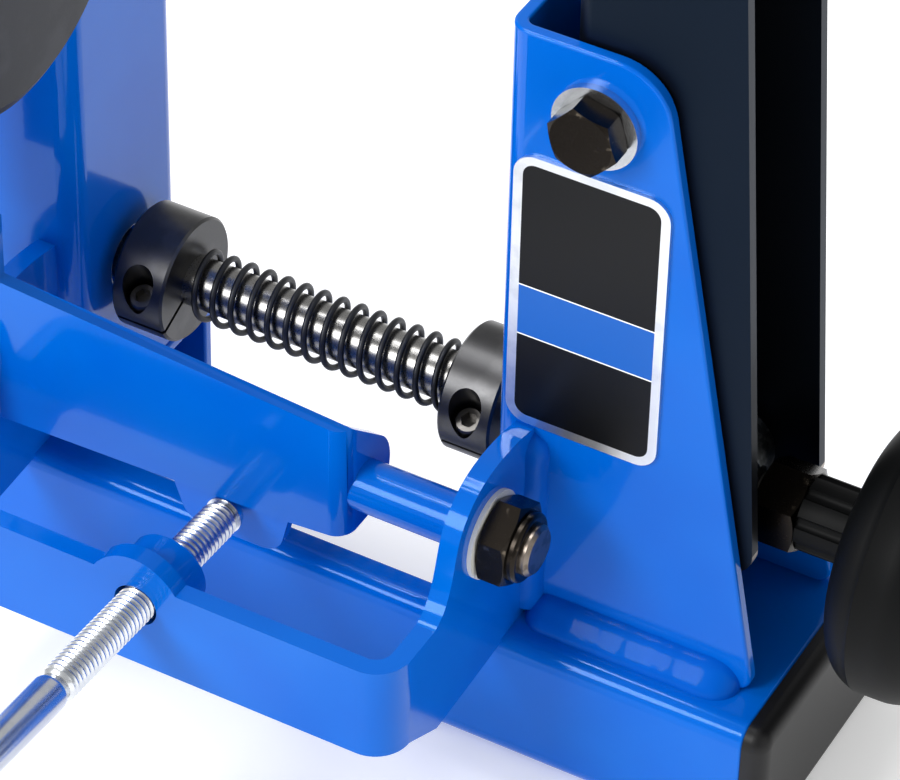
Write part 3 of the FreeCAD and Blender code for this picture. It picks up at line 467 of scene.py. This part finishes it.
# %% Threaded rod
ROD_TILT = math.radians(4.0)
ROD_RADIUS = 4.76 * MM
ROD_PITCH = 25.4 / 16 * MM
ROD_THREAD = 79.0 * MM
ROD_TOTAL = 140.0 * MM
ROD_GAUGE_Y = -89 * MM
ROD_DROP = 17.9 * MM
rod_axis = Vector((0, math.cos(ROD_TILT), -math.sin(ROD_TILT)))
tip_y = -45.3 * MM
tip_z = SHAFT_PLACE.z - ROD_DROP - (tip_y - ROD_GAUGE_Y) * math.tan(ROD_TILT)
rod_end = Vector((0, tip_y, tip_z)) - rod_axis * (ROD_RADIUS + 0.1 * MM)
rod_bm = bmesh.new()
rod_root = ROD_RADIUS - 0.62 * ROD_PITCH
shank = ROD_RADIUS - 0.12 * MM
inner = 4.66 * MM
thread(rod_bm, rod_end, -rod_axis, 0.4 * MM, ROD_THREAD - ROD_RADIUS, ROD_RADIUS, ROD_PITCH)
turned(rod_bm, [(0, 0), (0, rod_root - 0.4 * MM), (0.5 * MM, rod_root),
                (ROD_THREAD - inner - 1.2 * MM, rod_root),
                (ROD_THREAD - inner - 0.2 * MM, shank - 0.5 * MM),
                (ROD_THREAD - inner + 0.4 * MM, shank - 0.16 * MM),
                (ROD_THREAD - inner + 1.2 * MM, shank),
                (ROD_TOTAL - inner, shank), (ROD_TOTAL - inner, 0)], rod_end, -rod_axis)
rod = make_piece("threaded_rod", rod_bm, zinc_plate, "adjuster", ["adjusting_rod"])

# %% [markdown]
# ### Yoke and boss
# The strap rises in a hump round the rod. The hump is drawn a little wider and taller than
# the CAD strap's, and the boss behind it as a plain ring a little smaller than the CAD one.

# %% Yoke and boss
boss_low, boss_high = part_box("yoke_boss")
HUMP_RISE = 1.375
HUMP_SPREAD = 1.14
STRAP_TOP = SHAFT_PLACE.z - 10.2 * MM
HUMP_HALF = 11.5 * MM
HUMP_MARGIN = 0.6 * MM
BOSS_TRIM = 1.4 * MM
yoke_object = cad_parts["caliper_yoke"]
yoke_bm = bmesh.new()
yoke_bm.from_mesh(yoke_object.data)
yoke_bm.transform(yoke_object.matrix_world)
hump_verts = [v for v in yoke_bm.verts if v.co.z > STRAP_TOP - HUMP_MARGIN
              and abs(v.co.x) < HUMP_HALF and v.co.y < boss_low.y + 0.2 * MM]
for vert in hump_verts:
    vert.co.x *= HUMP_SPREAD
    vert.co.z += max(0.0, vert.co.z - STRAP_TOP) * (HUMP_RISE - 1.0)
yoke = make_piece("strap_yoke", yoke_bm, blue_coat, "base", ["caliper_yoke"])

boss_place = (0, boss_low.y, (boss_low.z + boss_high.z) / 2)
boss_radius = (boss_high.z - boss_low.z) / 2 - BOSS_TRIM
boss_long = boss_high.y - boss_low.y
boss_hole = ROD_RADIUS + 0.6 * MM
boss_bm = bmesh.new()
turned(boss_bm, [(0, boss_hole), (0, boss_radius), (boss_long - 0.7 * MM, boss_radius),
                 (boss_long, boss_radius - 0.7 * MM), (boss_long, boss_hole), (0, boss_hole)],
       boss_place, (0, 1, 0))
boss = make_piece("threaded_boss", boss_bm, blue_coat, "base", ["yoke_boss"])
print("hump vertices moved:", len(hump_verts))

# %% [markdown]
# ### Crossbar
# The crossbar's top edges are rolled round before it is painted, so a long highlight runs
# along them.

# %% Crossbar with rolled edges
ROLLED = 1.6 * MM
cross_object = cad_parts["crossbar"]
cross_bm = bmesh.new()
cross_bm.from_mesh(cross_object.data)
cross_bm.transform(cross_object.matrix_world)
bmesh.ops.remove_doubles(cross_bm, verts=cross_bm.verts, dist=1e-6)
bmesh.ops.dissolve_limit(cross_bm, angle_limit=math.radians(0.6), verts=cross_bm.verts,
                         edges=cross_bm.edges)
cross_bm.normal_update()
top_edges = [e for e in cross_bm.edges if len(e.link_faces) == 2
             and abs(e.verts[0].co.x - e.verts[1].co.x) > 6 * MM
             and e.calc_face_angle() > math.radians(60)
             and max(f.normal.z for f in e.link_faces) > 0.7]
bmesh.ops.bevel(cross_bm, geom=top_edges, affect="EDGES", offset=ROLLED, offset_type="OFFSET",
                segments=5, profile=0.5, clamp_overlap=True)
cross = make_piece("rolled_crossbar", cross_bm, blue_coat, "caliper_arm", ["crossbar"])
print("rolled edges:", len(top_edges))

# %% [markdown]
# ### Hand knob
# The centring knob is moulded in two halves of a tool, so a fine seam runs round it. The
# rim is full and round, and the outer face is dished.

# %% Centring knob
low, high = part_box("centering_knob")
KNOB_PLACE = Vector((0, (low.y + high.y) / 2, (low.z + high.z) / 2))
KNOB_RADIUS = (high.z - low.z) / 2
ROUND = 11.5 * MM
SEAM = 0.25 * MM
seam_x = low.x + 9.5 * MM
knob_outline = [(low.x + 3.0 * MM, 9.4 * MM), (low.x + 1.0 * MM, 11.0 * MM),
                (low.x, 14.0 * MM), (low.x, KNOB_RADIUS - ROUND)]
knob_outline += arc(low.x + ROUND, KNOB_RADIUS - ROUND, ROUND, 172, 102, 12)
knob_outline += [(seam_x - SEAM, KNOB_RADIUS - 0.12 * MM), (seam_x, KNOB_RADIUS),
                 (seam_x + SEAM, KNOB_RADIUS - 0.12 * MM)]
knob_outline += arc(high.x - ROUND, KNOB_RADIUS - ROUND - 0.2 * MM, ROUND, 90, 8, 14)
knob_outline += [(high.x, KNOB_RADIUS - ROUND - 2 * MM)]
knob_outline += arc(high.x - 1.5 * MM, KNOB_RADIUS - ROUND - 4 * MM, 1.5 * MM, 60, 10, 4)
knob_outline += [(high.x - 3.5 * MM, 18 * MM), (high.x - 4.6 * MM, 10 * MM),
                 (high.x - 5 * MM, 0)]
knob_bm = bmesh.new()
turned(knob_bm, knob_outline, KNOB_PLACE, (1, 0, 0), 128)
knob = make_piece("moulded_knob", knob_bm, black_abs, "centering_screw", ["centering_knob"])

# %% [markdown]
# ### Name plate
# A printed aluminium plate is glued to the front of the right bracket. Here it stays bare:
# a bright border, two black fields, and a blue band with a white line at each edge.

# %% Name plate
low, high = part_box("label_plate")
PLATE_CORNER = 5.5 * MM
BORDER = 2.3 * MM
BAND_LOW = SHAFT_PLACE.z + 43.4 * MM
BAND_HIGH = SHAFT_PLACE.z + 58.0 * MM
LINE = 0.35 * MM
RIM = 0.35 * MM
FIELD_AREA = 300 * MM * MM
plate_bm = bmesh.new()
corners = [plate_bm.verts.new((x, high.y, z)) for x, z in
           ((low.x, low.z), (high.x, low.z), (high.x, high.z), (low.x, high.z))]
plate_face = plate_bm.faces.new(corners)
bmesh.ops.bevel(plate_bm, geom=corners, affect="VERTICES", offset=PLATE_CORNER,
                offset_type="OFFSET", segments=8, profile=0.5, material=-1)
plate_bm.faces.ensure_lookup_table()
front = bmesh.ops.extrude_face_region(plate_bm, geom=list(plate_bm.faces))["geom"]
bmesh.ops.translate(plate_bm, vec=(0, low.y - high.y, 0),
                    verts=[g for g in front if isinstance(g, bmesh.types.BMVert)])
front_face = [g for g in front if isinstance(g, bmesh.types.BMFace)]
bmesh.ops.inset_region(plate_bm, faces=front_face, thickness=RIM, depth=0.0,
                       use_even_offset=True)
bmesh.ops.inset_region(plate_bm, faces=front_face, thickness=BORDER - RIM,
                       depth=-0.08 * MM, use_even_offset=True)
for height in (BAND_LOW, BAND_LOW + LINE, BAND_HIGH - LINE, BAND_HIGH):
    inner_faces = [f for f in plate_bm.faces if f.calc_center_median().y < low.y + 0.2 * MM
                   and f.calc_area() > FIELD_AREA]
    geom = inner_faces + [e for f in inner_faces for e in f.edges] + [v for f in inner_faces
                                                                    for v in f.verts]
    bmesh.ops.bisect_plane(plate_bm, geom=list(set(geom)), plane_co=(0, 0, height),
                           plane_no=(0, 0, 1), dist=1e-6)
bmesh.ops.recalc_face_normals(plate_bm, faces=plate_bm.faces)
for face in plate_bm.faces:
    centre = face.calc_center_median()
    if face.calc_area() > FIELD_AREA and centre.y < low.y + 0.2 * MM:
        face.material_index = 2 if BAND_LOW < centre.z < BAND_HIGH else 1
    elif min(abs(centre.z - BAND_LOW - LINE / 2), abs(centre.z - BAND_HIGH + LINE / 2)) < LINE / 2:
        face.material_index = 3
bright_plate = plated_steel("bright_aluminium", "eef0f2", "dfe2e5", 0.3, 0.5, 8.0)
black_print = moulded("black_print", "050608", 0.3, 0.8, 0.004, 0.3)
blue_print = moulded("blue_print", "1a5cb4", 0.3, 0.8, 0.004, 0.3)
white_print = moulded("white_print", "f2f4f6", 0.3, 0.8, 0.004)
plate = make_piece("name_plate", plate_bm,
                   [bright_plate, black_print, blue_print, white_print], "base", ["label_plate"])

# %% [markdown]
# ### Weld beads
# A wide bead runs along the foot of each bracket, and a thinner one up the corner between
# the yoke's ear and the bracket. The powder coat levels their ripples, so only a slow
# waviness is left. Their blue is drawn darker than the frame's, a painted shade for the
# corner they fill.

# %% Weld beads
LONG_WAVE_MM = 11.0
SHORT_WAVE_MM = 4.3
EAR_LEG = 4.2 * MM
EAR_TOP = 15.0 * MM
EAR_POINTS = 7
EAR_STEPS = 30
FOOT_POINTS = 9
FOOT_STEPS = 90


def draw_out(bm, ring, step, count):
    """Join vertices in a closed ring, extrude it in equal steps and return all vertices."""
    edges = [bm.edges.new((ring[i], ring[(i + 1) % len(ring)])) for i in range(len(ring))]
    points = list(ring)
    for _ in range(count):
        made = bmesh.ops.extrude_edge_only(bm, edges=edges)["geom"]
        edges = [g for g in made if isinstance(g, bmesh.types.BMEdge)
                 and all(v in made for v in g.verts)]
        verts = [g for g in made if isinstance(g, bmesh.types.BMVert)]
        bmesh.ops.translate(bm, verts=verts, vec=step)
        points += verts
    return points


def upright_bead(bm, corner_x, corner_y, outward, low_z, high_z):
    """Add the bead that joins a yoke ear to its bracket, from the foot bead upwards."""
    ring = []
    for i in range(EAR_POINTS):
        a = math.radians(90.0 * i / (EAR_POINTS - 1))
        ring.append(bm.verts.new((corner_x + outward * EAR_LEG * math.cos(a),
                                  corner_y - EAR_LEG * math.sin(a), low_z)))
    ring.append(bm.verts.new((corner_x, corner_y, low_z)))
    for vert in draw_out(bm, ring, (0, 0, (high_z - low_z) / EAR_STEPS), EAR_STEPS):
        along = vert.co.z - low_z
        end = min(1.0, (high_z - vert.co.z) / EAR_LEG)
        size = max(0.05, math.sqrt(max(0.0, 1.0 - (1.0 - end) ** 2)))
        size *= 0.97 + 0.03 * math.sin(math.tau * along / (LONG_WAVE_MM * MM))
        vert.co.x = corner_x + (vert.co.x - corner_x) * size
        vert.co.y = corner_y + (vert.co.y - corner_y) * size


def weld(name, node_name, outward):
    """A wavy, slightly flattened bead in the corner that the CAD bead fills."""
    low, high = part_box(node_name)
    leg = high.z - low.z
    corner_y = high.y
    bm = bmesh.new()
    ring = []
    for i in range(FOOT_POINTS):
        a = math.radians(90.0 * i / (FOOT_POINTS - 1))
        bulge = leg * (1.0 - 0.14 * math.sin(2 * a) ** 2)
        ring.append(bm.verts.new((low.x, corner_y - bulge * math.cos(a),
                                  low.z + bulge * math.sin(a))))
    ring.append(bm.verts.new((low.x, corner_y, low.z)))
    length = high.x - low.x
    for vert in draw_out(bm, ring, (length / FOOT_STEPS, 0, 0), FOOT_STEPS):
        along = vert.co.x - low.x
        end = min(along, length - along) / leg
        swell = math.sqrt(max(0.0, 1.0 - max(0.0, 1.0 - end) ** 2))
        ripple = (0.985 + 0.009 * math.sin(math.tau * along / (LONG_WAVE_MM * MM))
                  + 0.004 * math.sin(math.tau * along / (SHORT_WAVE_MM * MM) + 1.0))
        size = max(0.02, swell * ripple)
        vert.co.y = corner_y + (vert.co.y - corner_y) * size
        vert.co.z = low.z + (vert.co.z - low.z) * size
    yoke_low, yoke_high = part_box("caliper_yoke")
    ear_x = yoke_high.x if outward > 0 else yoke_low.x
    upright_bead(bm, ear_x, corner_y, outward, low.z + leg * 0.4, SHAFT_PLACE.z + EAR_TOP)
    bmesh.ops.holes_fill(bm, edges=[e for e in bm.edges if e.is_boundary], sides=0)
    bead = make_piece(name, bm, weld_coat_shaded, "base", [node_name], 60.0)


weld("weld_bead_right", "bracket_weld_right", 1)
weld("weld_bead_left", "bracket_weld_left", -1)
